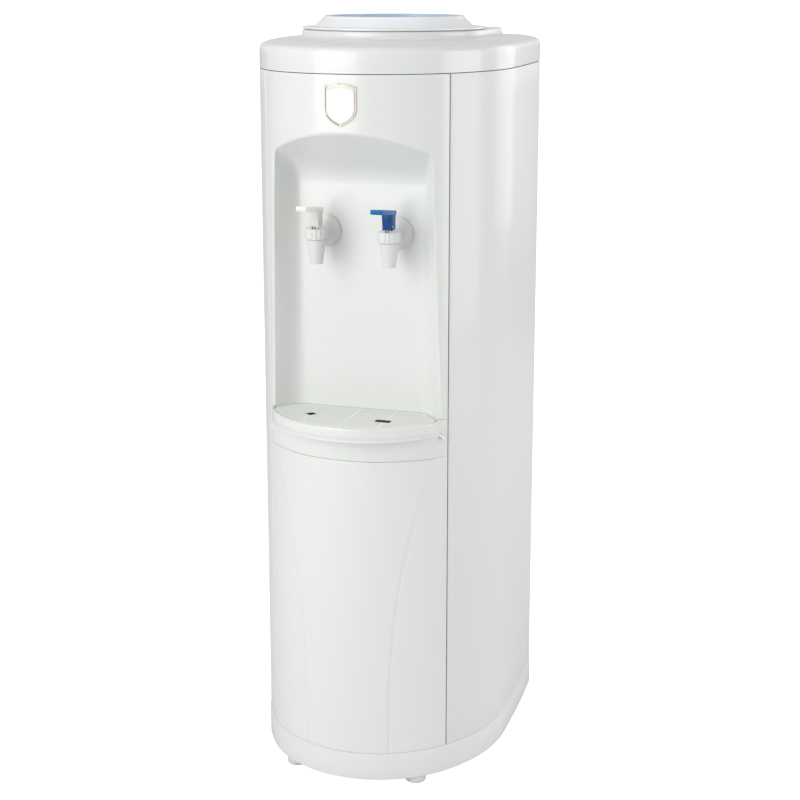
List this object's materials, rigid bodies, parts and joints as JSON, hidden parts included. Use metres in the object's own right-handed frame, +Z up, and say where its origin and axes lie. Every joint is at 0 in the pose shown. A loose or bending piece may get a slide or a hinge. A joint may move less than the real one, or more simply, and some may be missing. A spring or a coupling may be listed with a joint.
{
  "type": "top load water cooler",
  "caption": "Free-standing top load water cooler with a bottle receptacle, an alcove with sprung taps, a drip shelf with a grille and a compressor cooling circuit.",
  "frame": {"origin": "on the floor, under the middle of the bounding box", "axes": "+Z up, -Y out of the front with the taps, +X to the viewer's right"},
  "size_m": [0.324, 0.414, 0.967],
  "materials": {
    "front_plastic": "satin-gloss moulded plastic, warm white",
    "receptacle_plastic": "gloss moulded plastic, clean white",
    "probe_plastic": "translucent pale blue plastic",
    "silicone": "milky food-grade silicone",
    "side_steel": "powder-coated steel sheet, cool white",
    "rear_steel": "powder-coated steel sheet, light grey white",
    "zinc_plate": "galvanised sheet",
    "foot_rubber": "pale grey rubber",
    "tray_plastic": "moulded plastic, white",
    "grille_plastic": "moulded plastic, white",
    "badge_enamel": "blank white enamel",
    "badge_metal": "polished pale gold and silver rim",
    "tap_plastic": "moulded plastic, neutral white",
    "ivory_lever": "milky ivory plastic",
    "blue_lever": "tinted blue plastic",
    "spring_steel": "stainless wire",
    "stainless_tank": "stainless sheet",
    "foam": "expanded polystyrene",
    "baffle_plastic": "food-grade plastic",
    "copper": "drawn copper tube",
    "black_enamel": "black stove enamel",
    "black_plastic": "black moulded plastic",
    "black_rubber": "black rubber",
    "zinc_fastener": "zinc-plated steel",
    "cap_plastic": "white plastic",
    "knob_plastic": "black plastic knob",
    "rocker_plastic": "black rocker"
  },
  "bodies": {
    "cabinet": {"top_cover": "front_plastic", "receptacle_seal": "silicone", "upper_front_panel": "front_plastic", "shelf_housing": "front_plastic", "lower_front_panel": "front_plastic", "left_side_panel": "side_steel", "right_side_panel": "side_steel", "rear_panel": "rear_steel", "base_plinth": "front_plastic", "base_plate": "zinc_plate", "feet": "foot_rubber", "badge_plate": "badge_enamel", "badge_rim": "badge_metal", "cold_tank": "stainless_tank", "insulation_front": "foam", "insulation_rear": "foam", "baffle": "baffle_plastic", "evaporator_coil": "copper", "tank_deck": "zinc_plate", "compressor": "black_enamel", "relay_cover": "black_plastic", "compressor_grommets": "black_rubber", "compressor_bolts": "zinc_fastener", "condenser": "black_enamel", "condenser_brackets": "black_enamel", "filter_drier": "copper", "refrigerant_lines": "copper", "drain_tube": "silicone", "thermostat": "black_plastic", "power_switch": "black_plastic", "cord_gland": "black_plastic", "rear_screws": "zinc_fastener", "room_tap_body": "tap_plastic", "room_tap_collar": "tap_plastic", "room_tap_gasket": "silicone", "room_tap_nut": "tap_plastic", "room_tap_hose": "silicone", "cold_tap_body": "tap_plastic", "cold_tap_collar": "tap_plastic", "cold_tap_gasket": "silicone", "cold_tap_nut": "tap_plastic", "cold_tap_hose": "silicone"},
    "receptacle": {"bottle_receptacle": "receptacle_plastic", "feed_probe": "probe_plastic"},
    "tray": {"drip_tray": "tray_plastic"},
    "grille": {"drip_grille": "grille_plastic"},
    "cap": {"drain_cap": "cap_plastic"},
    "knob": {"thermostat_knob": "knob_plastic"},
    "rocker": {"switch_rocker": "rocker_plastic"},
    "room_lever": {"room_tap_lever": "ivory_lever", "room_tap_pin": "zinc_fastener"},
    "room_stem": {"room_tap_stem": "silicone", "room_tap_spring": "spring_steel"},
    "cold_lever": {"cold_tap_lever": "blue_lever", "cold_tap_pin": "zinc_fastener"},
    "cold_stem": {"cold_tap_stem": "silicone", "cold_tap_spring": "spring_steel"}
  },
  "joints": [
    {"name": "room_lever_press", "type": "hinge", "parent": "cabinet", "child": "room_lever", "pos_m": [-0.047, -0.1475, 0.722], "axis": [1, 0, 0], "range_deg": [0, 20], "stiffness_Nm_per_rad": 0.6, "springref_deg": -6.88},
    {"name": "room_stem_lift", "type": "slide", "parent": "cabinet", "child": "room_stem", "axis": [0, 0, 1], "range_m": [0, 0.0026], "deforming": ["room_tap_spring"]},
    {"name": "cold_lever_press", "type": "hinge", "parent": "cabinet", "child": "cold_lever", "pos_m": [0.047, -0.1475, 0.722], "axis": [1, 0, 0], "range_deg": [0, 20], "stiffness_Nm_per_rad": 0.6, "springref_deg": -6.88},
    {"name": "cold_stem_lift", "type": "slide", "parent": "cabinet", "child": "cold_stem", "axis": [0, 0, 1], "range_m": [0, 0.0026], "deforming": ["cold_tap_spring"]},
    {"name": "receptacle_lift", "type": "slide", "parent": "cabinet", "child": "receptacle", "axis": [0, 0, 1], "range_m": [0, 0.12]},
    {"name": "tray_lift", "type": "slide", "parent": "cabinet", "child": "tray", "axis": [0, 0, 1], "range_m": [0, 0.05]},
    {"name": "grille_lift", "type": "slide", "parent": "tray", "child": "grille", "axis": [0, 0, 1], "range_m": [0, 0.06]},
    {"name": "drain_cap_pull", "type": "slide", "parent": "cabinet", "child": "cap", "axis": [0, 1, 0], "range_m": [0, 0.03]},
    {"name": "thermostat_turn", "type": "hinge", "parent": "cabinet", "child": "knob", "pos_m": [-0.086, 0.183, 0.286], "axis": [0, 1, 0], "range_deg": [0, 270]},
    {"name": "rocker_press", "type": "hinge", "parent": "cabinet", "child": "rocker", "pos_m": [0.062, 0.181, 0.286], "axis": [1, 0, 0], "range_deg": [0, 14]}
  ],
  "couplings": [
    {"joint": "room_lever_press", "follows": "room_stem_lift", "rad_per_m": 134.12},
    {"joint": "cold_lever_press", "follows": "cold_stem_lift", "rad_per_m": 134.12}
  ]
}
